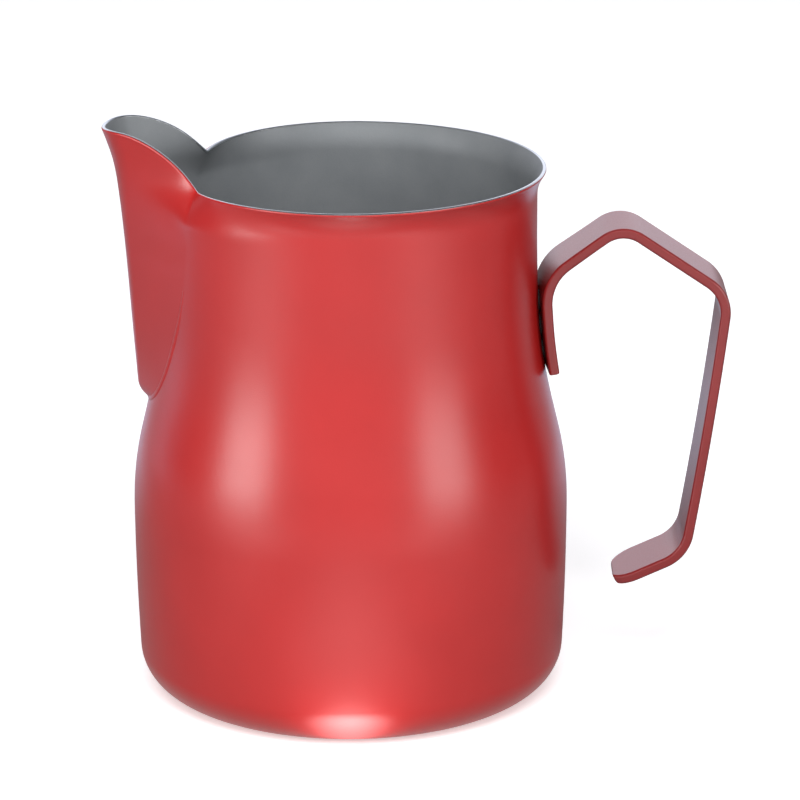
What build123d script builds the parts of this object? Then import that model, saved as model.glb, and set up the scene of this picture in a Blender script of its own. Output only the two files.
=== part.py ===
from build123d import *
from math import asin, cos, degrees, radians, sin, sqrt
import os

# Milk frothing pitcher: a drawn pot, a welded spout and a bent strap handle.
# Frame: Z up, origin at the centre of the face that the pot stands on,
# handle towards +X, spout towards -X, mirror plane y = 0.

# ---------------------------------------------------------------- driving dimensions (mm)
wall = 0.8                    # sheet thickness of the pot and of the spout
rim_height = 107.9
belly_radius = 44.0           # the largest radius of the pot

# Pot profile, upwards from the base
base_corner_radius = 8.6
side_height = 30.3            # from the base corner up to the largest radius
side_swell = 0.7              # how much the side widens over that height
shoulder_radius = 66.0
shoulder_angle = 13.5         # slope of the shoulder from the vertical, degrees
shoulder_run = 5.7            # straight length of the shoulder
hollow_radius = 112.0         # the shoulder runs into the neck on this radius
neck_lean = 1.8               # lean of the neck where the hollow ends, degrees
neck_round = 500.0            # the neck comes upright on this radius
lip_start = 100.0             # level where the lip starts to leave the neck
lip_flare = 1.9               # how far the lip stands out from the neck
lip_pull = 4.6                # how far the rim is drawn in again beside the spout
lip_round_angle = 100.0       # the rim is round this far each way from the handle, degrees
lip_pull_angles = (118.0, 130.0, 148.0)   # from the handle round to the spout, degrees
lip_pull_shares = (0.28, 0.52, 1.0)       # share of the pull that the rim has there
lip_pull_power = 2.2          # how steeply the pull grows towards the rim
lip_levels = (0.55, 0.82, 1.0)            # the lip's sections, as shares of its height
lip_flare_start = 0.35        # share of the lip's height where it starts to stand out

# Base
stand_inner_radius = 31.0     # inside edge of the flat ring that the pot stands on
base_recess = 0.9             # the middle of the base is this far above the ring
base_recess_run = 2.0

# Spout: two flat panels that meet in a rounded keel
toe_level = 60.2              # lowest level of the spout
toe_round = 3.5
toe_trim = 2.4                # height over which the toe is trimmed inside the pot
spout_block_half_width = 26.0
# level, panel's distance from the pot's axis, keel's distance from it, keel radius
spout_sections = (
    (toe_level, 40.9, 42.9, 6.0),
    (75.0, 38.6, 43.7, 6.5),
    (90.0, 37.7, 44.7, 7.5),
    (99.0, 37.1, 45.4, 8.0),
    (108.0, 33.5, 46.5, 9.0),
    (118.0, 33.2, 49.9, 10.3),
)
# mouth of the spout, seen from the side: level at the rim, at mid-length and at the tip
mouth_kink = (-29.4, 107.4)
mouth_middle = (-37.6, 114.0)
mouth_crest = (-47.0, 116.4)
mouth_tip = (-52.0, 116.2)
# half width of the joint between pot and spout, against level, from the toe to the rim
joint_outline = (
    (0.0, 60.5),
    (6.0, 61.4),
    (10.4, 63.6),
    (13.2, 67.6),
    (18.8, 84.0),
    (20.3, 97.0),
    (18.3, rim_height),
)
joint_top = (15.0, 120.0)
joint_depth = 60.0
toe_centre = 72.0

seam_height = 0.35            # weld bead standing on the pot
seam_width = 0.8
seam_top = 86.0               # above this level the bead is ground flush

# Strap handle, as the runs and bends of its middle line from the foot to the free end
strap_width = 15.4
strap_thickness = 2.05
strap_edge_round = 0.45
foot_clearance = 0.06         # between the foot and the neck
foot_low = 66.0
foot_high = 79.5
foot_bend = (0.9, 9.8, 57.5)  # run before the bend, radius, angle in degrees
apex_bend = (9.45, 6.4, 69.6)
shoulder_bend = (16.45, 7.6, 62.8)
grip_bow_radius = 950.0
grip_length = 46.0
tail_bend_radius = 8.1
tail_bend_angle = 56.1
tail_run = 11.2
tail_corner_round = 5.0
foot_corner_round = 2.0

# Spot welds
nugget_radius = 2.2
nugget_levels = (70.0, 75.0, 80.0)
nugget_depth_in_wall = 0.4
nugget_depth_in_strap = 1.0

# ---------------------------------------------------------------- derived dimensions
swell_angle = 2 * degrees(side_swell / side_height)
side_radius = side_height / sin(radians(swell_angle))
base_corner_angle = 90 - swell_angle
base_corner_start = belly_radius - side_swell - base_corner_radius * sin(radians(base_corner_angle))
slope_sine = sin(radians(shoulder_angle))
slope_cosine = cos(radians(shoulder_angle))
lean_cosine = cos(radians(neck_lean))
hollow_centre = (
    belly_radius
    - shoulder_radius * (1 - slope_cosine)
    - shoulder_run * slope_sine
    + hollow_radius * slope_cosine
)
hollow_level = (
    base_corner_radius * (1 - cos(radians(base_corner_angle)))
    + side_height
    + shoulder_radius * slope_sine
    + shoulder_run * slope_cosine
    + hollow_radius * slope_sine
)
neck_radius = hollow_centre - hollow_radius * lean_cosine - neck_round * (1 - lean_cosine)


def hollow_face(level):
    """Outer radius of the pot where the shoulder runs into the neck."""
    drop = hollow_level - level
    return hollow_centre - sqrt(hollow_radius**2 - drop**2)


# ---------------------------------------------------------------- pot
def pot_outer_line():
    """Outer line of the pot's half section, from the base centre to the lip's start."""
    Polyline(
        (0, base_recess),
        (stand_inner_radius - base_recess_run, base_recess),
        (stand_inner_radius, 0),
        (base_corner_start, 0),
    )
    corner = JernArc((base_corner_start, 0), (1, 0), base_corner_radius, base_corner_angle)
    side = JernArc(corner @ 1, corner % 1, side_radius, swell_angle)
    shoulder = JernArc(side @ 1, side % 1, shoulder_radius, shoulder_angle)
    slope = PolarLine(shoulder @ 1, shoulder_run, direction=shoulder % 1)
    hollow = JernArc(slope @ 1, slope % 1, hollow_radius, neck_lean - shoulder_angle)
    neck = JernArc(hollow @ 1, hollow % 1, neck_round, -neck_lean)
    Line(neck @ 1, (neck_radius, lip_start))


def round_outline(level, radius):
    """Outline of the neck just below the lip, in the same two pieces as the lip's."""
    with BuildSketch(Plane.XY.offset(level)) as outline:
        with BuildLine():
            CenterArc((0, 0), radius, -lip_round_angle, 2 * lip_round_angle)
            CenterArc((0, 0), radius, lip_round_angle, 360 - 2 * lip_round_angle)
        make_face()
    return outline.sketch


def lip_outline(level, radius, pull):
    """Outline of the lip at one level: round, and pulled in on the spout's side."""
    side = [(radius - pull * s, t) for s, t in zip(lip_pull_shares, lip_pull_angles)]
    upper = [(r * cos(radians(t)), r * sin(radians(t))) for r, t in side]
    lower = [(x, -y) for x, y in reversed(upper)]
    with BuildSketch(Plane.XY.offset(level)) as outline:
        with BuildLine():
            arc = CenterArc((0, 0), radius, -lip_round_angle, 2 * lip_round_angle)
            Spline(
                arc @ 1,
                *upper,
                (pull - radius, 0),
                *lower,
                arc @ 0,
                tangents=(arc % 1, arc % 0),
            )
        make_face()
    return outline.sketch


def lip_block(inset):
    """Solid inside the lip's outer face, or inside its inner face with inset = wall."""
    height = rim_height - lip_start
    rows = [round_outline(lip_start, neck_radius - inset)]
    for share in lip_levels:
        flare = lip_flare * max(0.0, (share - lip_flare_start) / (1 - lip_flare_start)) ** 2
        pull = lip_pull * share**lip_pull_power
        rows.append(lip_outline(lip_start + share * height, neck_radius + flare - inset, pull))
    return loft(sections=rows, mode=Mode.PRIVATE)


# ---------------------------------------------------------------- spout
def spout_section(level, panel, keel, nose):
    """One level section of the spout block: two panels and the rounded keel."""
    slope = asin((panel - nose) / (keel - nose))
    touch_x = -(keel - nose) - nose * sin(slope)
    touch_y = nose * cos(slope)
    back_x = -(panel - spout_block_half_width * cos(slope)) / sin(slope)
    with BuildSketch(Plane.XY.offset(level)) as section:
        with BuildLine():
            ThreePointArc((touch_x, touch_y), (-keel, 0), (touch_x, -touch_y))
            Polyline(
                (touch_x, -touch_y),
                (back_x, -spout_block_half_width),
                (back_x, spout_block_half_width),
                (touch_x, touch_y),
            )
        make_face()
    return section.sketch


def spout_block(growth):
    """Solid inside the spout's outer face, moved outwards by growth."""
    rows = []
    for level, panel, keel, nose in spout_sections:
        lift = -growth if level == toe_level else 0.0
        rows.append(spout_section(level + lift, panel + growth, keel + growth, nose + growth))
    block = loft(sections=rows, mode=Mode.PRIVATE)
    bottom = block.edges().group_by(Axis.Z)[0]
    toe = bottom.sort_by(Axis.X)[:-1]
    return fillet(toe, toe_round + growth)


def moved_out(point, growth):
    """Point of the joint outline moved outwards: away from the toe's centre, or level above it."""
    across, level = point
    drop = max(0.0, toe_centre - level)
    reach = sqrt(across**2 + drop**2)
    return (across + growth * across / reach, level - growth * drop / reach)


def joint_block(growth):
    """Block whose sides are the joint between pot and spout, moved outwards by growth."""
    with BuildSketch(Plane.YZ) as outline:
        with BuildLine():
            level_across = (1, 0)
            leaning_in = (joint_top[0] - joint_outline[-1][0], joint_top[1] - rim_height)
            points = [moved_out(point, growth) for point in joint_outline]
            side = Spline(*points, tangents=(level_across, leaning_in))
            Polyline(side @ 1, joint_top, (0, joint_top[1]))
            mirror(about=Plane.YZ)
        make_face()
    return extrude(outline.sketch, amount=-joint_depth, mode=Mode.PRIVATE)


spout_outer = spout_block(0.0)
spout_inner = spout_block(-wall)
notch_form = joint_block(0.0) & spout_outer

# ---------------------------------------------------------------- spot-weld nuggets
nugget_places = [(hollow_face(level) - nugget_depth_in_wall, 0, level) for level in nugget_levels]
nugget_length = nugget_depth_in_wall + foot_clearance + nugget_depth_in_strap
along_x = (0, 90, 0)
from_floor = (Align.CENTER, Align.CENTER, Align.MIN)

with BuildPart() as handle_spot_welds:
    with Locations(*nugget_places):
        Cylinder(nugget_radius, nugget_length, rotation=along_x, align=from_floor)

# ---------------------------------------------------------------- pot body
with BuildPart() as vessel_body:
    with BuildSketch(Plane.XZ):
        with BuildLine():
            pot_outer_line()
            offset(amount=wall, side=Side.LEFT)
        make_face()
    revolve(axis=Axis.Z)
    add(lip_block(0.0))
    add(lip_block(wall), mode=Mode.SUBTRACT)
    # the notch for the spout
    add(notch_form, mode=Mode.SUBTRACT)
    add(handle_spot_welds.part, mode=Mode.SUBTRACT)

# ---------------------------------------------------------------- handle
def strap_middle_line():
    """Middle line of the strap, from the foot's low end round to the free end."""
    foot_radius = hollow_radius - foot_clearance - strap_thickness / 2
    low_angle = degrees(asin((hollow_level - foot_low) / foot_radius))
    high_angle = degrees(asin((hollow_level - foot_high) / foot_radius))
    centre = (hollow_centre, hollow_level)
    foot = CenterArc(centre, foot_radius, 180 + low_angle, high_angle - low_angle)
    place = foot @ 1
    heading = foot % 1
    for run, radius, angle in (foot_bend, apex_bend, shoulder_bend):
        straight = PolarLine(place, run, direction=heading)
        bend = JernArc(straight @ 1, heading, radius, -angle)
        place = bend @ 1
        heading = bend % 1
    grip_angle = degrees(grip_length / grip_bow_radius)
    grip = JernArc(place, heading, grip_bow_radius, -grip_angle)
    tail_bend = JernArc(grip @ 1, grip % 1, tail_bend_radius, -tail_bend_angle)
    PolarLine(tail_bend @ 1, tail_run, direction=tail_bend % 1)


with BuildPart() as handle:
    with BuildSketch(Plane.XZ):
        with BuildLine():
            strap_middle_line()
        trace(line_width=strap_thickness)
    extrude(amount=strap_width / 2, both=True)
    end_area = strap_width * strap_thickness
    ends = handle.faces().filter_by(lambda face: abs(face.area - end_area) < 0.01)
    for end, corner_round in zip(ends.sort_by(Axis.Z), (tail_corner_round, foot_corner_round)):
        corners = end.edges().filter_by(lambda edge: edge.length < 1.5 * strap_thickness)
        fillet(corners, corner_round)
    on_a_side = handle.edges().filter_by(lambda edge: abs(edge.center().Y) > 0.49 * strap_width)
    fillet(on_a_side.filter_by(lambda edge: edge.length > strap_thickness), strap_edge_round)
    add(handle_spot_welds.part, mode=Mode.SUBTRACT)

# ---------------------------------------------------------------- spout
with BuildPart() as spout:
    add(spout_outer)
    add(spout_inner, mode=Mode.SUBTRACT)
    add(joint_block(0.0), mode=Mode.INTERSECT)
    # the toe ends flush with the inside of the pot
    with Locations((0, 0, toe_level - wall)):
        Cylinder(hollow_face(toe_level) - wall, toe_trim, align=from_floor, mode=Mode.SUBTRACT)
    # the mouth
    with BuildSketch(Plane.XZ):
        with BuildLine():
            edge = ThreePointArc(mouth_kink, mouth_middle, mouth_crest)
            Polyline(
                edge @ 1,
                mouth_tip,
                (mouth_tip[0], joint_top[1]),
                (0, joint_top[1]),
                (0, mouth_kink[1]),
                edge @ 0,
            )
        make_face()
    extrude(amount=spout_block_half_width, both=True, mode=Mode.SUBTRACT)

# ---------------------------------------------------------------- weld seam
with BuildPart() as spout_weld_seam:
    with BuildSketch(Plane.XZ):
        with BuildLine():
            pot_outer_line()
            offset(amount=seam_height, side=Side.RIGHT)
        make_face()
    revolve(axis=Axis.Z)
    add(joint_block(seam_width), mode=Mode.INTERSECT)
    add(joint_block(0.0), mode=Mode.SUBTRACT)
    with Locations((0, 0, seam_top)):
        Box(4 * belly_radius, 4 * belly_radius, belly_radius, align=from_floor, mode=Mode.SUBTRACT)

# ---------------------------------------------------------------- names and files
vessel_body.part.label = "vessel_body"
spout.part.label = "spout"
handle.part.label = "handle"
spout_weld_seam.part.label = "spout_weld_seam"
handle_spot_welds.part.label = "handle_spot_welds"

os.makedirs("parts", exist_ok=True)
export_step(vessel_body.part, "parts/vessel_body.step")
export_step(spout.part, "parts/spout.step")
export_step(handle.part, "parts/handle.step")
export_step(spout_weld_seam.part, "parts/spout_weld_seam.step")
export_step(handle_spot_welds.part, "parts/handle_spot_welds.step")
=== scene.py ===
import math

import bpy
import numpy as np
from mathutils import Matrix, Vector


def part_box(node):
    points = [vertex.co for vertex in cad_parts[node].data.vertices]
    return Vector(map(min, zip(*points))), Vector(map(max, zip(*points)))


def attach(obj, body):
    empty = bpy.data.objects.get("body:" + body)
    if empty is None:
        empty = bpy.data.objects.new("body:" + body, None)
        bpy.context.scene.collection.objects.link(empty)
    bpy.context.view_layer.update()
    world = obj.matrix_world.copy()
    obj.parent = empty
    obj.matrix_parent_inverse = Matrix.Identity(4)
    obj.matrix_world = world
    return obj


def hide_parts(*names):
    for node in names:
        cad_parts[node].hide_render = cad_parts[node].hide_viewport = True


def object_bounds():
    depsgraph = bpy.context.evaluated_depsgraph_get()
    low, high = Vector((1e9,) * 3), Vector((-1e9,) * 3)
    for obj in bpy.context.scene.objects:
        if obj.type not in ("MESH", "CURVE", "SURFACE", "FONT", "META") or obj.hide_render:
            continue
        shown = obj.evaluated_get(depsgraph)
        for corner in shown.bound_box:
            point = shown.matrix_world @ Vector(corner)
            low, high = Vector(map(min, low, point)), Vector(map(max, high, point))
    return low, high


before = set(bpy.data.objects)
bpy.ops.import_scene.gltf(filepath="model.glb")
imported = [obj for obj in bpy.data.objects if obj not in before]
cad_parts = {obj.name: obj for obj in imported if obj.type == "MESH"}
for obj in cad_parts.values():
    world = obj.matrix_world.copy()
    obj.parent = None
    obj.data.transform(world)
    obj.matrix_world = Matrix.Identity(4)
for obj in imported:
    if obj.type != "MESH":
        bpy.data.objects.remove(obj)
cad_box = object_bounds()

MM = 0.001
MIRROR = np.array((1, -1, 1))         # to the other side of the pitcher
POT_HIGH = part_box("vessel_body")[1]

# ---------------------------------------------------------------- sizes, in millimetres
WALL = 0.8
BELLY = POT_HIGH.y / MM               # largest radius of the pot
RIM = POT_HIGH.z / MM                 # level of the rim
BASE_CORNER = 8.6
SIDE_RISE = 30.3
SIDE_SWELL = 0.7
SHOULDER = 66.0
SLOPE = math.radians(13.5)
SLOPE_RUN = 5.7
HOLLOW = 112.0
NECK_LEAN = math.radians(1.8)          # lean of the neck where the hollow ends
NECK_ROUND = 500.0
LIP_START = 100.0
LIP_RADIUS = 39.3
KINK_DROP = 0.5
KINK_PULL = 4.6
KINK_ANGLE = 31.6                     # degrees from the spout's direction
LIP_ROUND_ANGLE = 92.0
STAND_INNER = 31.0
BASE_RECESS = 0.9
BASE_RECESS_RUN = 2.0
BASE_EDGE_ROUND = 2.0

SWELL = 2 * SIDE_SWELL / SIDE_RISE
CORNER_TURN = math.pi / 2 - SWELL
HOLLOW_CENTRE = (
    BELLY
    - SHOULDER * (1 - math.cos(SLOPE))
    - SLOPE_RUN * math.sin(SLOPE)
    + HOLLOW * math.cos(SLOPE)
)
HOLLOW_LEVEL = (
    BASE_CORNER * (1 - math.cos(CORNER_TURN))
    + SIDE_RISE
    + (SHOULDER + HOLLOW) * math.sin(SLOPE)
    + SLOPE_RUN * math.cos(SLOPE)
)
NECK = HOLLOW_CENTRE - HOLLOW * math.cos(NECK_LEAN) - NECK_ROUND * (1 - math.cos(NECK_LEAN))
NECK_LEVEL = HOLLOW_LEVEL + (NECK_ROUND - HOLLOW) * math.sin(NECK_LEAN)

# half of the joint between pot and spout: half width and level, from the toe to the kink
JOINT = (
    (0.0, 60.45),
    (5.6, 61.3),
    (10.2, 63.7),
    (13.2, 67.6),
    (16.0, 74.4),
    (18.5, 82.7),
    (20.2, 91.2),
    (20.7, 97.5),
    (19.9, 103.0),
    (18.1, RIM - KINK_DROP),
)
# level, distance of the keel from the pot's axis, above the toe's rounding
KEEL = (
    (58.0, 42.45),
    (66.8, 43.05),
    (76.8, 43.75),
    (90.2, 44.65),
    (103.3, 45.85),
    (109.9, 46.95),
    (113.1, 47.95),
    (116.4, 49.2),
    (119.0, 50.4),
)
NOSE = ((58.0, 5.6), (75.0, 6.5), (90.0, 7.5), (99.0, 8.0), (108.0, 9.0), (119.0, 10.4))
TOE_ROUND = 3.8
TOE_BOTTOM = 60.0
# level, distance of the panel's rear edge from the pot's axis
PANEL_EDGE = (
    (94.0, NECK),
    (97.0, NECK),
    (100.0, 37.3),
    (103.0, 36.85),
    (105.0, 36.15),
    (107.3, 35.15),
    (111.0, 34.65),
    (114.4, 35.0),
    (119.0, 35.7),
)
# the mouth seen from the side: distance from the pot's axis, and level
MOUTH = (
    (28.0, 105.2),
    (29.5, 106.95),
    (33.4, 110.9),
    (38.2, 114.1),
    (43.0, 115.85),
    (46.0, 116.15),
    (49.4, 115.8),
    (52.0, 115.2),
)


# ---------------------------------------------------------------- small tools
def curve_through(knots):
    """Natural cubic spline through knots of (place, value), as a function of place."""
    x, y = (np.array(column, float) for column in zip(*knots))
    step = np.diff(x)
    system = np.eye(len(x))
    right = np.zeros(len(x))
    for i in range(1, len(x) - 1):
        system[i, i - 1 : i + 2] = step[i - 1], 2 * (step[i - 1] + step[i]), step[i]
        right[i] = 6 * ((y[i + 1] - y[i]) / step[i] - (y[i] - y[i - 1]) / step[i - 1])
    bend = np.linalg.solve(system, right)

    def value(places):
        places = np.asarray(places, float)
        i = np.clip(np.searchsorted(x, places) - 1, 0, len(x) - 2)
        before, after = places - x[i], x[i + 1] - places
        return (
            (bend[i] * after**3 + bend[i + 1] * before**3) / (6 * step[i])
            + (y[i] / step[i] - bend[i] * step[i] / 6) * after
            + (y[i + 1] / step[i] - bend[i + 1] * step[i] / 6) * before
        )

    return value


def smooth_step(value, low, high):
    share = np.clip((np.asarray(value, float) - low) / (high - low), 0, 1)
    return share * share * (3 - 2 * share)


def unit(vectors):
    return vectors / np.maximum(np.linalg.norm(vectors, axis=-1, keepdims=True), 1e-12)


def walk(start, heading, legs):
    """Points and headings along legs of (length, turn in radians, steps) from start."""
    place, angle = np.array(start, float), heading
    places, angles = [place], [angle]
    for length, turn, steps in legs:
        for i in range(1, steps + 1):
            share = i / steps
            chord = length * share
            if abs(turn) > 1e-9:
                chord *= math.sin(turn * share / 2) / (turn * share / 2)
            direction = angle + turn * share / 2
            places.append(place + chord * np.array((math.cos(direction), math.sin(direction))))
            angles.append(angle + turn * share)
        place, angle = places[-1], angles[-1]
    return np.array(places), np.array(angles)


class Shell:
    """A mesh gathered from grids of points with their normals."""

    def __init__(self, name):
        self.name = name
        self.points, self.normals, self.faces, self.marks = [], [], [], []
        self.count = 0

    def add(self, points, normals):
        """Adds a grid of points and returns their numbers."""
        shape = points.shape[:-1]
        self.points.append(points.reshape(-1, 3))
        self.normals.append(unit(normals).reshape(-1, 3))
        size = int(np.prod(shape))
        numbers = np.arange(self.count, self.count + size).reshape(shape)
        self.count += size
        return numbers

    def skin(self, numbers, mark):
        """Faces over a grid of point numbers, wound to agree with the points' normals."""
        quads = np.stack((numbers[:-1, :-1], numbers[:-1, 1:], numbers[1:, 1:], numbers[1:, :-1]), -1)
        self.wound(quads.reshape(-1, 4).tolist(), mark)

    def wound(self, faces, mark):
        faces = [list(dict.fromkeys(face)) for face in faces]
        faces = [face for face in faces if len(face) > 2]
        points, normals = np.concatenate(self.points), np.concatenate(self.normals)
        corners = np.array([face[:3] for face in faces])
        sides = points[corners[:, 1:]] - points[corners[:, :1]]
        facing = np.cross(sides[:, 0], sides[:, 1])
        agree = (facing * normals[corners].sum(1)).sum()
        self.faces += faces if agree > 0 else [face[::-1] for face in faces]
        self.marks += [mark] * len(faces)

    def end(self, ring, next_ring):
        """One flat face over an end ring, facing away from the next ring."""
        points = np.concatenate(self.points)
        middle, inner = points[ring].mean(0), points[next_ring].mean(0)
        spokes = points[ring] - middle
        turn = np.cross(spokes, np.roll(spokes, -1, axis=0)).sum(0)
        face = ring.tolist()
        self.faces.append(face if turn @ (middle - inner) > 0 else face[::-1])
        self.marks.append(0)

    def closed_rings(self, points, normals):
        """A solid of closed rings, with a flat face over each end."""
        numbers = self.add(points, normals)
        numbers[:, -1] = numbers[:, 0]
        self.skin(numbers, 0)
        self.end(numbers[0, :-1], numbers[1, :-1])
        self.end(numbers[-1, :-1], numbers[-2, :-1])

    def build(self, materials):
        points = np.concatenate(self.points) * MM
        normals = np.concatenate(self.normals)
        mesh = bpy.data.meshes.new(self.name)
        mesh.from_pydata(points.tolist(), [], self.faces)
        for material in materials:
            mesh.materials.append(material)
        mesh.polygons.foreach_set("material_index", self.marks)
        mesh.polygons.foreach_set("use_smooth", [True] * len(self.faces))
        mesh.update()
        mesh.normals_split_custom_set_from_vertices(normals.tolist())
        piece = bpy.data.objects.new(self.name, mesh)
        bpy.context.scene.collection.objects.link(piece)
        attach(piece, "root")
        return piece


# ---------------------------------------------------------------- the pot's surface
LIP_LEAN = math.radians(38.0)
LIP_TOP = RIM - WALL / 2 * (1 + math.sin(LIP_LEAN))
FLARE = LIP_RADIUS - WALL / 2 * (1 - math.cos(LIP_LEAN)) - NECK
FLARE_START = 0.3                     # share of the lip's height where the flare starts
LIP_POWER = 2.2                       # how steeply flare and pull grow towards the rim
# the pull's share of KINK_PULL, against the angle from the spout's direction in degrees
PULL = curve_through(
    (
        (20.0, 1.35),
        (KINK_ANGLE, 1.0),
        (42.0, 0.68),
        (50.0, 0.5),
        (62.0, 0.28),
        (70.0, 0.165),
        (80.0, 0.06),
        (LIP_ROUND_ANGLE, 0.0),
        (105.0, 0.0),
    )
)


def pull_share(turn):
    """How much of the kink's pull the lip has at this angle from the spout's direction."""
    degrees = np.degrees(np.minimum(turn, 2 * np.pi - turn))
    pull = PULL(np.minimum(degrees, LIP_ROUND_ANGLE))
    return np.where(degrees < LIP_ROUND_ANGLE, np.maximum(pull, 0), 0)


def side_at(level):
    """Outer radius of the pot's upper slope, hollow and neck."""
    drop = np.maximum(HOLLOW_LEVEL - level, HOLLOW * math.sin(NECK_LEAN))
    bent = np.minimum(drop, HOLLOW * math.sin(SLOPE))
    hollow = HOLLOW_CENTRE - np.sqrt(HOLLOW**2 - bent**2) + (drop - bent) * math.tan(SLOPE)
    fall = np.clip(NECK_LEVEL - level, 0, NECK_ROUND * math.sin(NECK_LEAN))
    neck = NECK + NECK_ROUND - np.sqrt(NECK_ROUND**2 - fall**2)
    return np.where(HOLLOW_LEVEL - level > HOLLOW * math.sin(NECK_LEAN), hollow, neck)


def pot_at(level, turn):
    """Outer point of the pot; levels above the lip's start follow the rim's own height."""
    share = np.maximum((level - LIP_START) / (RIM - LIP_START), 0)
    pull = pull_share(turn)
    height = LIP_TOP - KINK_DROP * np.minimum(pull, 1) ** 2 - LIP_START
    z = np.where(level > LIP_START, LIP_START + share * height, level)
    flare = FLARE * np.maximum((share - FLARE_START) / (1 - FLARE_START), 0) ** LIP_POWER
    radius = side_at(np.minimum(z, LIP_START)) + flare - KINK_PULL * pull * share**LIP_POWER
    return np.stack((-radius * np.cos(turn), radius * np.sin(turn), z), -1)


def pot_normal_at(level, turn):
    gap = 1e-3
    up = pot_at(np.minimum(level + gap, RIM), turn) - pot_at(level - gap, turn)
    across = pot_at(level, turn + gap) - pot_at(level, turn - gap)
    return unit(np.cross(up, across))


def joint_curve():
    """The joint's half width and level as functions of a share, 0 at the toe, 1 at the kink."""
    half = np.array(JOINT)
    whole = np.concatenate((half[:0:-1] * (-1, 1), half))
    along = np.concatenate(((0,), np.cumsum(np.linalg.norm(np.diff(whole, axis=0), axis=1))))
    middle, end = along[len(half) - 1], along[-1]
    shares = (along - middle) / (end - middle)
    width = curve_through(list(zip(shares, whole[:, 0])))
    level = curve_through(list(zip(shares, whole[:, 1])))
    return width, level


def joint_rows(count):
    """Level and half angle of the joint, row by row, from the toe to the kink."""
    width, level = joint_curve()
    shares = np.linspace(0, 1, count)
    y, z = width(shares), level(shares)
    stretch = (RIM - LIP_START) / (z[-1] - LIP_START)
    nominal = np.where(z > LIP_START, LIP_START + (z - LIP_START) * stretch, z)
    turn = np.arcsin(np.minimum(y / NECK, 1))
    for _ in range(PASSES):
        point = pot_at(nominal, turn)
        turn = np.clip(np.arcsin(y / np.hypot(point[:, 0], point[:, 1])), 0, 1)
    return nominal, turn


ROWS = 96
COLUMNS = 240
PASSES = 40                           # rounds in which a joint or mouth point is homed in on
JOINT_LEVEL, JOINT_TURN = joint_rows(ROWS)


def pot_lower_rows():
    """Outer points and headings of the pot's section from the base centre up to the toe."""
    step_turn = math.atan2(BASE_RECESS, BASE_RECESS_RUN)
    step_run = math.hypot(BASE_RECESS, BASE_RECESS_RUN)
    cut = BASE_EDGE_ROUND * math.tan(step_turn / 2)
    corner_start = BELLY - SIDE_SWELL - BASE_CORNER * math.sin(CORNER_TURN)
    hollow_start = HOLLOW_LEVEL - HOLLOW * math.sin(SLOPE)
    below_slope = SLOPE_RUN - (hollow_start - JOINT_LEVEL[0]) / math.cos(SLOPE)
    edge_arc = BASE_EDGE_ROUND * step_turn
    legs = (
        (STAND_INNER - BASE_RECESS_RUN - cut, 0, 6),
        (edge_arc, -step_turn, 4),
        (step_run - 2 * cut, 0, 2),
        (edge_arc, step_turn, 4),
        (corner_start - STAND_INNER - cut, 0, 2),
        (BASE_CORNER * CORNER_TURN, CORNER_TURN, 28),
        (SIDE_RISE, SWELL, 16),
        (SHOULDER * SLOPE, SLOPE, 16),
        (below_slope, 0, 4),
    )
    return walk((0, BASE_RECESS), 0, legs)


def pot_grid():
    """Outer points and normals of the pot, row by row; the last ROWS rows are open at the spout."""
    places, angles = pot_lower_rows()
    share = np.linspace(0, 1, COLUMNS + 1)
    ring = 2 * np.pi * share
    spin = np.stack((-np.cos(ring), np.sin(ring)), -1)
    flat = np.ones((len(places) - 1, len(ring), 1))
    radius, level, lean = places[:-1, :1, None], places[:-1, 1:, None], angles[:-1, None, None]
    low = np.concatenate((radius * spin, level * flat), -1)
    low_normal = np.concatenate((np.sin(lean) * spin, -np.cos(lean) * flat), -1)
    turn = JOINT_TURN[:, None] + (2 * np.pi - 2 * JOINT_TURN[:, None]) * share
    nominal = np.broadcast_to(JOINT_LEVEL[:, None], turn.shape)
    high, high_normal = pot_at(nominal, turn), pot_normal_at(nominal, turn)
    return np.concatenate((low, high)), np.concatenate((low_normal, high_normal))


def share_joint(pot_values, spout_values):
    """Gives both sheets the mean direction along their joint, so that they meet smoothly."""
    for pot_side, spout_side in ((0, -1), (-1, 0)):
        mean = unit(pot_values[..., pot_side, :] + spout_values[..., spout_side, :])
        pot_values[..., pot_side, :] = mean
        spout_values[..., spout_side, :] = mean


def sheet_piece(name, outer, normal, up, first_open, materials):
    """A sheet of the wall's thickness behind its outer face, with a half-round free edge."""
    shell = Shell(name)

    def numbered(points, normals):
        numbers = shell.add(points, normals)
        numbers[:first_open, -1] = numbers[:first_open, 0]
        numbers[0, :] = numbers[0, 0]
        return numbers

    back = outer - WALL * normal
    outside, inside = numbered(outer, normal), numbered(back, -normal)
    shell.skin(outside, 0)
    shell.skin(inside, 1)
    edge = shell.add(*rim_cap(outer[-1], normal[-1], up))
    edge[0], edge[-1] = outside[-1], inside[-1]
    shell.skin(edge[: RED_CAP + 1], 0)
    shell.skin(edge[RED_CAP:], 2)
    for column, way in ((0, 1), (-1, -1)):
        rows = slice(max(first_open - 1, 0), None)
        along = np.gradient(outer[rows, column], axis=0)
        facing = unit(np.cross(normal[rows, column], along)) * way
        strip = np.stack((outer[rows, column], back[rows, column]))
        shell.skin(shell.add(strip, np.stack((facing, facing))), 1)
    piece = shell.build(materials)
    return piece


CAP_STEPS = 12
RED_CAP = 4


def edge_up(points, normals):
    """Direction in the sheet's surface that leads out over its free edge."""
    up = unit(np.cross(unit(np.gradient(points, axis=0)), normals))
    return up * np.where(up[:, 2:] < 0, -1, 1)


def rim_cap(points, normals, up):
    """Half-round edge of the sheet, from the outer face over to the inner face."""
    centre = points - WALL / 2 * normals
    angle = np.linspace(0, np.pi, CAP_STEPS + 1)[:, None, None]
    facing = np.cos(angle) * normals + np.sin(angle) * up
    return centre + WALL / 2 * facing, facing


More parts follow.
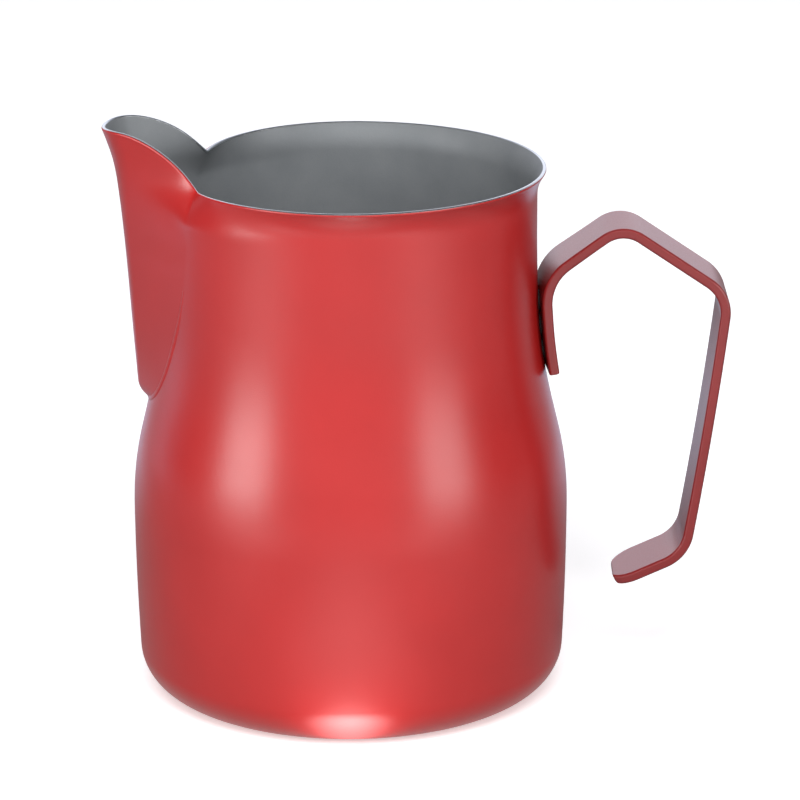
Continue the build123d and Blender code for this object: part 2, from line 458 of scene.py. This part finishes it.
# ---------------------------------------------------------------- the spout's surface
KEEL_AT = curve_through(KEEL)
NOSE_AT = curve_through(NOSE)
PANEL_AT = curve_through(PANEL_EDGE)
MOUTH_AT = curve_through(MOUTH)
FAN_START = 90.0
PINCH_REACH = 11.0                    # the kink pinches the panels this far out
PINCH_POWER = 3
TURN_FROM = LIP_START - 12.0          # the joint's angle is needed above this level
NOSE_LIMIT = 0.96                     # largest keel radius, as a share of what fits
PANEL_STEPS = 30
NOSE_STEPS = 16


def keel_at(level):
    rounding = TOE_ROUND - np.clip(level - TOE_BOTTOM, 0, TOE_ROUND)
    return KEEL_AT(level) - TOE_ROUND + np.sqrt(TOE_ROUND**2 - rounding**2)


def half_section(corner_x, corner_y, level):
    """Plan position of each point of one side, from the panel's rear corner to the keel.

    The three inputs hold the corner and the level for each point of the row."""
    keel = keel_at(level)
    depth = np.maximum(corner_x + keel, 1e-6)
    around = (depth**2 + corner_y**2) / (2 * depth)
    nose = np.minimum(NOSE_AT(level), NOSE_LIMIT * around)
    centre = nose - keel
    reach = np.hypot(corner_x - centre, corner_y)
    lean = np.arctan2(corner_y, corner_x - centre) - np.arcsin(np.minimum(nose / reach, 1))
    touch_x = centre - nose * np.sin(lean)
    touch_y = nose * np.cos(lean)
    step = np.arange(PANEL_STEPS + NOSE_STEPS + 1)
    along = np.clip(step / PANEL_STEPS, 0, 1)
    bend = np.clip((step - PANEL_STEPS) / NOSE_STEPS, 0, 1)
    angle = lean + (np.pi / 2 - lean) * bend
    on_panel = step <= PANEL_STEPS
    x = np.where(on_panel, corner_x + (touch_x - corner_x) * along, centre - nose * np.sin(angle))
    y = np.where(on_panel, corner_y + (touch_y - corner_y) * along, nose * np.cos(angle))
    return x, y


def spout_row(corner, level_turn):
    """One side of a row, from the joint to the keel. Upper rows fan up to the mouth."""
    x, y, z = corner
    steps = PANEL_STEPS + NOSE_STEPS + 1
    if z < FAN_START:
        px, py = half_section(np.full(steps, x), np.full(steps, y), np.full(steps, z))
        return np.stack((px, py, np.full(steps, z)), -1)
    fan = smooth_step(z, FAN_START, LIP_TOP - KINK_DROP)
    level = np.full(steps, z)
    for _ in range(PASSES):
        radius, turn = PANEL_AT(level), level_turn(np.minimum(level, LIP_TOP - KINK_DROP))
        px, py = half_section(-radius * np.cos(turn), radius * np.sin(turn), level)
        hold = np.clip(1 - np.hypot(px - px[0], py - py[0]) / PINCH_REACH, 0, 1) ** PINCH_POWER
        px, py = px + (x - px[0]) * hold, py + (y - py[0]) * hold
        level = z + fan * (MOUTH_AT(-px) - MOUTH_AT(-x))
    return np.stack((px, py, level), -1)


def spout_grid(joint):
    """Outer points of the spout: a row for each joint point, from one side to the other."""
    high = JOINT_LEVEL > TURN_FROM
    knots = list(zip(joint[high, 2][::4], JOINT_TURN[high][::4]))
    level_turn = curve_through(knots)
    rows = [np.repeat(joint[:1], 2 * (PANEL_STEPS + NOSE_STEPS) + 1, axis=0)]
    for corner in joint[1:]:
        half = spout_row(corner, level_turn)
        rows.append(np.concatenate((half * MIRROR, half[-2::-1])))
    return np.array(rows)


def grid_normals(grid):
    """Normals of the spout's rows, facing away from the pot's axis."""
    normals = unit(np.cross(np.gradient(grid, axis=1), np.gradient(grid, axis=0)))
    normals[0] = unit(normals[1:4].mean((0, 1)))
    return normals if normals[len(grid) // 2, len(grid[0]) // 2, 0] < 0 else -normals


# ---------------------------------------------------------------- weld bead
SEAM_TOP = 88.0                       # the bead is ground flush and ends here
SEAM_FADE = (76.0, 87.0)              # levels between which the grinding starts and is complete
SEAM_HALF_WIDTH = (0.35, 0.3)         # where it is flush, and what the full bead adds
SEAM_HEIGHT = (0.02, 0.2)
SEAM_SINK = 0.3
RIPPLE = 0.12
RIPPLE_TURN = 1.9                     # radians from one point of the bead to the next
BEAD_SIDES = 16
BEAD_LEAN = 0.5                       # how far the bead's normals lean sideways


def tube(name, centres, sides, ups, half_width, heights, sink, material):
    """A low bead: rounded top over the joint and a flat foot sunk in the sheet."""
    shell = Shell(name)
    angle = np.linspace(0, 2 * np.pi, BEAD_SIDES + 1)
    across, rise = np.cos(angle), np.sin(angle)
    lift = np.where(rise >= 0, rise * heights[:, None], rise * sink)
    grid = (
        centres[:, None]
        + sides[:, None] * (across * half_width[:, None])[..., None]
        + ups[:, None] * lift[..., None]
    )
    facing = sides[:, None] * (across * BEAD_LEAN)[..., None] + ups[:, None] * rise[..., None]
    shell.closed_rings(grid, facing)
    return shell.build((material,))


def bead_line(joint, up):
    """Points along the whole joint, over the toe, with side and up directions."""
    line = np.concatenate(((joint * MIRROR)[:0:-1], joint))
    ups = np.concatenate(((up * MIRROR)[:0:-1], up))
    along = unit(np.gradient(line, axis=0))
    return line, unit(np.cross(along, ups)), ups


def weld_seam(joint, up, red):
    centres, sides, ups = bead_line(joint, up)
    keep = centres[:, 2] < SEAM_TOP
    centres, sides, ups = centres[keep], sides[keep], ups[keep]
    full = 1 - smooth_step(centres[:, 2], *SEAM_FADE)
    ripple = 1 + RIPPLE * np.sin(np.arange(len(centres)) * RIPPLE_TURN) * full
    half_width = SEAM_HALF_WIDTH[0] + SEAM_HALF_WIDTH[1] * full
    heights = (SEAM_HEIGHT[0] + SEAM_HEIGHT[1] * full) * ripple
    piece = tube("weld_seam", centres, sides, ups, half_width, heights, SEAM_SINK, red)
    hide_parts("spout_weld_seam")


# ---------------------------------------------------------------- handle
STRAP_WIDTH = 15.4
STRAP = 2.05
STRAP_EDGE = 0.6
FOOT_GAP = 0.06
FOOT_LOW = 66.0
FOOT_HIGH = 79.5
# turns the foot's near edge away from the neck; in the photo it lies the other way
FOOT_TWIST = math.radians(4.6)
# run before each bend, its radius and its angle in degrees
STRAP_BENDS = ((0.9, 9.8, 57.5), (9.45, 6.4, 69.6), (16.45, 7.6, 62.8))
GRIP_LENGTH = 46.0
GRIP_BOW = 950.0
TAIL_BEND = 8.1
TAIL_TURN = math.radians(56.1)
TAIL_RUN = 11.2
TAIL_ROUND = 5.0
FOOT_ROUND = 2.0
END_ROWS = 26                         # rows that crowd together over each end
END_LENGTH = 6.0
ROW_GAP = 0.4
TWIST_FADE = (12.0, 34.0)             # the foot's turn fades out between these lengths
THIN_EDGE = 0.02                      # edge radius that is left at the very end
TIP_LEAN = 1.2                        # how far the end's edge normals lean outwards
CORNER_STEPS = 6
BEND_STEPS = 18
FOOT_STEPS, GRIP_STEPS, TAIL_STEPS = 60, 24, 50
RUN_STEP = 1.5


def strap_line():
    """Middle line of the strap from the foot's low end to the free end."""
    foot_radius = HOLLOW - FOOT_GAP - STRAP / 2
    low = math.asin((HOLLOW_LEVEL - FOOT_LOW) / foot_radius)
    high = math.asin((HOLLOW_LEVEL - FOOT_HIGH) / foot_radius)
    start = (
        HOLLOW_CENTRE - foot_radius * math.cos(low),
        HOLLOW_LEVEL - foot_radius * math.sin(low),
    )
    legs = [(foot_radius * (low - high), high - low, FOOT_STEPS)]
    for run, radius, degrees in STRAP_BENDS:
        legs.append((run, 0, max(2, int(run / RUN_STEP))))
        legs.append((radius * math.radians(degrees), -math.radians(degrees), BEND_STEPS))
    legs.append((GRIP_LENGTH, -GRIP_LENGTH / GRIP_BOW, GRIP_STEPS))
    legs.append((TAIL_BEND * TAIL_TURN, -TAIL_TURN, BEND_STEPS))
    legs.append((TAIL_RUN, 0, TAIL_STEPS))
    return walk(start, math.pi / 2 + low, legs)


def strap_section(half_width, half_depth, edge):
    """Rounded rectangle: offsets across and through the strap, with normals."""
    corners = []
    for quarter, (sx, sy) in enumerate(((1, 1), (-1, 1), (-1, -1), (1, -1))):
        for i in range(CORNER_STEPS + 1):
            angle = math.pi / 2 * (quarter + i / CORNER_STEPS)
            c, s = math.cos(angle), math.sin(angle)
            across = sx * (half_width - edge) + edge * c
            corners.append((across, sy * (half_depth - edge) + edge * s, c, s))
    corners.append(corners[0])
    return np.array(corners)


def strap_rows(places, angles):
    """Place and heading of each row along the strap; the rows crowd together at both ends."""
    along = np.concatenate(((0,), np.cumsum(np.linalg.norm(np.diff(places, axis=0), axis=1))))
    length = along[-1]
    near = END_LENGTH * (1 - np.cos(np.linspace(0, np.pi / 2, END_ROWS)))
    margin = END_LENGTH + ROW_GAP
    inner = along[(along > margin) & (along < length - margin)]
    rows = np.concatenate((near, inner, length - near[::-1]))
    x, z, heading = (np.interp(rows, along, values) for values in (*places.T, angles))
    return zip(rows, length - rows, x, z, heading)


def strap_half_width(from_foot, from_tail):
    """Half the strap's width, less where the corners of its two ends are rounded."""
    half_width = STRAP_WIDTH / 2
    for gap, corner in ((from_foot, FOOT_ROUND), (from_tail, TAIL_ROUND)):
        if gap < corner:
            cut = corner - math.sqrt(corner**2 - (corner - gap) ** 2)
            half_width = min(half_width, STRAP_WIDTH / 2 - cut)
    return half_width


def strap_ring(from_foot, from_tail, x, z, heading):
    """Points and normals around the strap at one place along it."""
    gap = min(from_foot, from_tail)
    inset = tip = 0.0
    if gap < STRAP_EDGE:
        inset = STRAP_EDGE - math.sqrt(STRAP_EDGE**2 - (STRAP_EDGE - gap) ** 2)
        tip = (1 - gap / STRAP_EDGE) * (1 if from_tail < from_foot else -1)
    edge = max(STRAP_EDGE - inset, THIN_EDGE)
    half_width = strap_half_width(from_foot, from_tail) - inset
    section = strap_section(half_width, STRAP / 2 - inset, edge)
    tangent = np.array((math.cos(heading), 0, math.sin(heading)))
    through = np.array((-math.sin(heading), 0, math.cos(heading)))
    twist = FOOT_TWIST * (1 - smooth_step(from_foot, *TWIST_FADE))
    across = np.array((-math.sin(twist), math.cos(twist), 0))
    ring = np.array((x, 0, z)) + section[:, :1] * across + section[:, 1:2] * through
    facing = section[:, 2:3] * across + section[:, 3:4] * through + TIP_LEAN * tip * tangent
    return ring, facing


def handle_piece(red):
    shell = Shell("strap_handle")
    rings = [strap_ring(*row) for row in strap_rows(*strap_line())]
    points, normals = (np.array(values) for values in zip(*rings))
    shell.closed_rings(points, normals)
    # the strap's material is the darker copy of the red coating, which is painted shade
    piece = shell.build((red,))
    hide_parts("handle")


# ---------------------------------------------------------------- materials
WHITE = (1.0, 1.0, 1.0)
COOL = (0.55, 0.75, 1.0)
# pools of light on the floor: centre, reach, strength and colour
POOLS = (
    ((0.0, -0.105, 0.0), 0.07, 0.8, WHITE),
    ((0.0, -0.0495, 0.0), 0.0135, 7.0, WHITE),
    ((0.0, 0.0, 0.0), 0.057, 1.6, WHITE),
    ((-0.205, -0.235, 0.0), 0.14, 1.2, WHITE),
    ((0.175, -0.25, 0.0), 0.14, 1.0, WHITE),
    ((0.0, -0.30, 0.0), 0.2, 0.5, WHITE),
    ((-0.36, 0.02, 0.0), 0.14, 0.25, COOL),
    ((-0.50, 0.27, 0.0), 0.22, 2.2, COOL),
    ((-0.11, 0.22, 0.0), 0.16, 1.1, COOL),
    ((0.11, 0.22, 0.0), 0.16, 1.1, COOL),
)
FLOOR_GLOW = 0.45
FLOOR_ROUGHNESS = 0.7
MIRRORED_FLOOR = (0.33, 0.33, 0.33, 1)
NOISE_LOW, NOISE_HIGH = 0.3, 0.7      # most values of a noise lie between these


def new_material(name):
    material = bpy.data.materials.new(name)
    material.use_nodes = True
    nodes = material.node_tree.nodes
    shader = nodes["Principled BSDF"]
    place = nodes.new("ShaderNodeTexCoord")
    return material, material.node_tree, shader, place.outputs["Object"]


def noise(tree, place, scale, detail=3.0, roughness=0.5):
    node = tree.nodes.new("ShaderNodeTexNoise")
    node.inputs["Scale"].default_value = scale
    node.inputs["Detail"].default_value = detail
    node.inputs["Roughness"].default_value = roughness
    tree.links.new(place, node.inputs["Vector"])
    return node.outputs["Fac"]


def ramp(tree, value, stops):
    node = tree.nodes.new("ShaderNodeValToRGB")
    elements = node.color_ramp.elements
    while len(elements) < len(stops):
        elements.new(0.5)
    for element, (place, colour) in zip(elements, stops):
        element.position = place
        element.color = (*colour, 1)
    tree.links.new(value, node.inputs["Fac"])
    return node.outputs["Color"]


def two_tone(tree, value, low, high):
    """Colour between low and high, by a noise."""
    return ramp(tree, value, ((NOISE_LOW, low), (NOISE_HIGH, high)))


def spread(tree, value, low, high):
    """Number between low and high, by a noise."""
    node = tree.nodes.new("ShaderNodeMapRange")
    node.inputs["From Min"].default_value = NOISE_LOW
    node.inputs["From Max"].default_value = NOISE_HIGH
    node.inputs["To Min"].default_value = low
    node.inputs["To Max"].default_value = high
    tree.links.new(value, node.inputs["Value"])
    return node.outputs["Result"]


def bump(tree, height, strength, distance):
    node = tree.nodes.new("ShaderNodeBump")
    node.inputs["Strength"].default_value = strength
    node.inputs["Distance"].default_value = distance
    tree.links.new(height, node.inputs["Height"])
    return node.outputs["Normal"]


def finish(tree, shader, colour, roughness, normal):
    for value, socket in ((colour, "Base Color"), (roughness, "Roughness"), (normal, "Normal")):
        tree.links.new(value, shader.inputs[socket])


def show_to_eye(tree, output, light, seen):
    """The camera sees one shader; the reflections and the lighting get the other."""
    ray = tree.nodes.new("ShaderNodeLightPath")
    mix = tree.nodes.new("ShaderNodeMixShader")
    tree.links.new(ray.outputs["Is Camera Ray"], mix.inputs["Fac"])
    tree.links.new(light, mix.inputs[1])
    tree.links.new(seen, mix.inputs[2])
    tree.links.new(mix.outputs["Shader"], tree.nodes[output].inputs["Surface"])


def red_coating(name, dull, fresh):
    """Satin baked coating with a fine grain and faint cloudiness."""
    material, tree, shader, place = new_material(name)
    cloud = noise(tree, place, 60.0, 4.0)
    grain = noise(tree, place, 3400.0, 2.0)
    colour = two_tone(tree, cloud, dull, fresh)
    roughness = spread(tree, grain, 0.28, 0.34)
    finish(tree, shader, colour, roughness, bump(tree, grain, 0.12, 0.00012))
    shader.inputs["Specular IOR Level"].default_value = 1.0
    return material


def blasted_steel():
    """Dull grey steel inside: fine blasted grain."""
    material, tree, shader, place = new_material("blasted_steel")
    cloud = noise(tree, place, 90.0, 4.0)
    grain = noise(tree, place, 2600.0, 3.0, 0.6)
    colour = two_tone(tree, cloud, (0.215, 0.228, 0.240), (0.255, 0.268, 0.280))
    roughness = spread(tree, grain, 0.5, 0.6)
    finish(tree, shader, colour, roughness, bump(tree, grain, 0.25, 0.0001))
    shader.inputs["Metallic"].default_value = 0.35
    return material


def weld_steel():
    """Heat-darkened steel of the spot welds."""
    material, tree, shader, place = new_material("weld_steel")
    grain = noise(tree, place, 1500.0, 3.0)
    colour = two_tone(tree, grain, (0.030, 0.026, 0.026), (0.060, 0.052, 0.050))
    roughness = spread(tree, grain, 0.55, 0.75)
    finish(tree, shader, colour, roughness, bump(tree, grain, 0.3, 0.0001))
    shader.inputs["Metallic"].default_value = 0.4
    return material


def cut_steel():
    """Bare cut edge of the sheet, brushed along the rim."""
    material, tree, shader, place = new_material("cut_steel")
    grain = noise(tree, place, 1800.0, 2.0)
    colour = two_tone(tree, grain, (0.60, 0.63, 0.66), (0.70, 0.73, 0.76))
    roughness = spread(tree, grain, 0.28, 0.38)
    finish(tree, shader, colour, roughness, bump(tree, grain, 0.15, 0.00008))
    shader.inputs["Metallic"].default_value = 1.0
    return material


def pool_glow(tree, place):
    """The sum of the pools of light, as a colour over the floor."""
    glow = None
    for centre, reach, level, tint in POOLS:
        away = tree.nodes.new("ShaderNodeVectorMath")
        away.operation = "DISTANCE"
        away.inputs[1].default_value = centre
        tree.links.new(place, away.inputs[0])
        pool = tree.nodes.new("ShaderNodeMapRange")
        pool.interpolation_type = "SMOOTHSTEP"
        pool.inputs["From Min"].default_value = reach
        pool.inputs["From Max"].default_value = 0.0
        pool.inputs["To Max"].default_value = level
        tree.links.new(away.outputs["Value"], pool.inputs["Value"])
        tinted = tree.nodes.new("ShaderNodeVectorMath")
        tinted.operation = "MULTIPLY_ADD"
        tinted.inputs[1].default_value = tint
        tree.links.new(pool.outputs["Result"], tinted.inputs[0])
        if glow is not None:
            tree.links.new(glow, tinted.inputs[2])
        glow = tinted.outputs["Vector"]
    return glow


def pale_floor():
    """White floor to the eye; the pitcher itself mirrors a dimmer floor with pools of light."""
    material, tree, shader, place = new_material("pale_floor")
    colour = two_tone(tree, noise(tree, place, 3.0), (0.88, 0.88, 0.88), (0.90, 0.90, 0.90))
    tree.links.new(colour, shader.inputs["Base Color"])
    shader.inputs["Roughness"].default_value = FLOOR_ROUGHNESS
    shader.inputs["Emission Color"].default_value = (1, 1, 1, 1)
    shader.inputs["Emission Strength"].default_value = FLOOR_GLOW
    mirrored = tree.nodes.new("ShaderNodeBsdfPrincipled")
    mirrored.inputs["Base Color"].default_value = MIRRORED_FLOOR
    mirrored.inputs["Roughness"].default_value = FLOOR_ROUGHNESS
    tree.links.new(pool_glow(tree, place), mirrored.inputs["Emission Color"])
    mirrored.inputs["Emission Strength"].default_value = 1.0
    show_to_eye(tree, "Material Output", mirrored.outputs["BSDF"], shader.outputs["BSDF"])
    return material


# ---------------------------------------------------------------- stage
FLOOR_SIZE = 4.0
FLOOR_DROP = 0.0002                   # just under the pot, so that the two don't flicker
AIM = Vector((0, 0, 0.06))            # the lights point at the middle of the pot
CAMERA_PLACE = (11.44, -765.68, 294.71)
CAMERA_TURN = (-0.102, 17.107, -0.149)    # to the right, down and rolled, in degrees
CAMERA_LENS = 178.16
# the world's light, from in front of the pitcher (0) to behind it (1)
WORLD_SHADES = (
    (0.0, (0.35, 0.35, 0.35)),
    (0.12, (0.30, 0.30, 0.30)),
    (0.27, (0.08, 0.08, 0.08)),
    (0.5, (0.05, 0.05, 0.05)),
    (0.78, (0.10, 0.10, 0.11)),
    (0.92, (0.88, 0.90, 1.00)),
)
WORLD_STRENGTH = 1.5


def floor_piece():
    mesh = bpy.data.meshes.new("floor")
    level = cad_box[0].z - FLOOR_DROP
    corners = [(x * FLOOR_SIZE, y * FLOOR_SIZE, level) for x, y in ((-1, -1), (1, -1), (1, 1), (-1, 1))]
    mesh.from_pydata(corners, [], [(0, 1, 2, 3)])
    mesh.materials.append(pale_floor())
    floor = bpy.data.objects.new("floor", mesh)
    bpy.context.scene.collection.objects.link(floor)


def soft_light(name, turn, rise, distance, width, height, power, mirrored=True):
    """Area light aimed at the pot; turn is from the camera's side, to the right, in degrees."""
    a, e = math.radians(turn), math.radians(rise)
    back = Vector((math.sin(a) * math.cos(e), -math.cos(a) * math.cos(e), math.sin(e)))
    lamp = bpy.data.lights.new(name, "AREA")
    lamp.shape = "RECTANGLE"
    lamp.size, lamp.size_y = width, height
    lamp.energy = power
    holder = bpy.data.objects.new(name, lamp)
    holder.location = AIM + back * distance
    holder.rotation_mode = "QUATERNION"
    holder.rotation_quaternion = (-back).to_track_quat("-Z", "Y")
    holder.visible_camera = False
    holder.visible_glossy = mirrored
    bpy.context.scene.collection.objects.link(holder)


def surroundings():
    """White to the eye; as a light, bright behind the pitcher and dim in front of it."""
    world = bpy.data.worlds.new("studio")
    world.use_nodes = True
    tree = world.node_tree
    lighting = tree.nodes["Background"]
    place = tree.nodes.new("ShaderNodeTexCoord")
    parts = tree.nodes.new("ShaderNodeSeparateXYZ")
    tree.links.new(place.outputs["Generated"], parts.inputs["Vector"])
    depth = tree.nodes.new("ShaderNodeMapRange")
    depth.inputs["From Min"].default_value = -1.0
    tree.links.new(parts.outputs["Y"], depth.inputs["Value"])
    shade = ramp(tree, depth.outputs["Result"], WORLD_SHADES)
    lighting.inputs["Strength"].default_value = WORLD_STRENGTH
    tree.links.new(shade, lighting.inputs["Color"])
    seen = tree.nodes.new("ShaderNodeBackground")
    seen.inputs["Color"].default_value = (1, 1, 1, 1)
    show_to_eye(tree, "World Output", lighting.outputs["Background"], seen.outputs["Background"])
    bpy.context.scene.world = world


def studio():
    surroundings()
    bpy.context.scene.view_settings.view_transform = "Standard"
    soft_light("key_left", -58.0, 12.0, 1.8, 0.85, 0.9, 11.5)
    soft_light("key_right", 53.0, 12.0, 1.8, 0.85, 0.9, 8.0)
    soft_light("front_fill", 0.0, 42.0, 1.6, 1.0, 0.8, 25.0, mirrored=False)


def camera():
    data = bpy.data.cameras.new("camera")
    data.lens = CAMERA_LENS
    data.sensor_width = 36.0
    data.clip_start, data.clip_end = 0.01, 20.0
    yaw, pitch, roll = (math.radians(v) for v in CAMERA_TURN)
    ahead = math.cos(pitch)
    forward = Vector((math.sin(yaw) * ahead, math.cos(yaw) * ahead, -math.sin(pitch)))
    right = Vector((math.cos(yaw), -math.sin(yaw), 0))
    up = right.cross(forward)
    tilted_right = right * math.cos(roll) + up * math.sin(roll)
    tilted_up = up * math.cos(roll) - right * math.sin(roll)
    turn = Matrix((tilted_right, tilted_up, -forward)).transposed()
    holder = bpy.data.objects.new("camera", data)
    holder.matrix_world = Matrix.Translation(Vector(CAMERA_PLACE) * MM) @ turn.to_4x4()
    bpy.context.scene.collection.objects.link(holder)
    bpy.context.scene.camera = holder


# ---------------------------------------------------------------- the pitcher
red = red_coating("red_coating", (0.42, 0.0095, 0.0090), (0.455, 0.0120, 0.0115))
# the strap is the pot's red paint in a darker copy: painted shade on the handle
strap_red_painted_shade = red_coating("strap_coating_painted_shade", (0.20, 0.0105, 0.0110), (0.225, 0.0125, 0.0130))
steel, bare = blasted_steel(), cut_steel()
pot_points, pot_normals = pot_grid()
joint = pot_points[-ROWS:, 0]
spout_points = spout_grid(joint)
spout_normals = grid_normals(spout_points)
share_joint(pot_normals[-ROWS:], spout_normals)
pot_up = edge_up(pot_points[-1], pot_normals[-1])
spout_up = edge_up(spout_points[-1], spout_normals[-1])
share_joint(pot_up, spout_up)
first_open = len(pot_points) - ROWS + 1
finishes = (red, steel, bare)
pot = sheet_piece("pot_body", pot_points, pot_normals, pot_up, first_open, finishes)
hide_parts("vessel_body")
spout = sheet_piece("spout_body", spout_points, spout_normals, spout_up, 0, finishes)
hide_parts("spout")
weld_seam(joint, pot_normals[-ROWS:, 0], red)
handle_piece(strap_red_painted_shade)
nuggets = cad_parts["handle_spot_welds"]
nuggets.data.materials.clear()
nuggets.data.materials.append(weld_steel())

floor_piece()
studio()
camera()
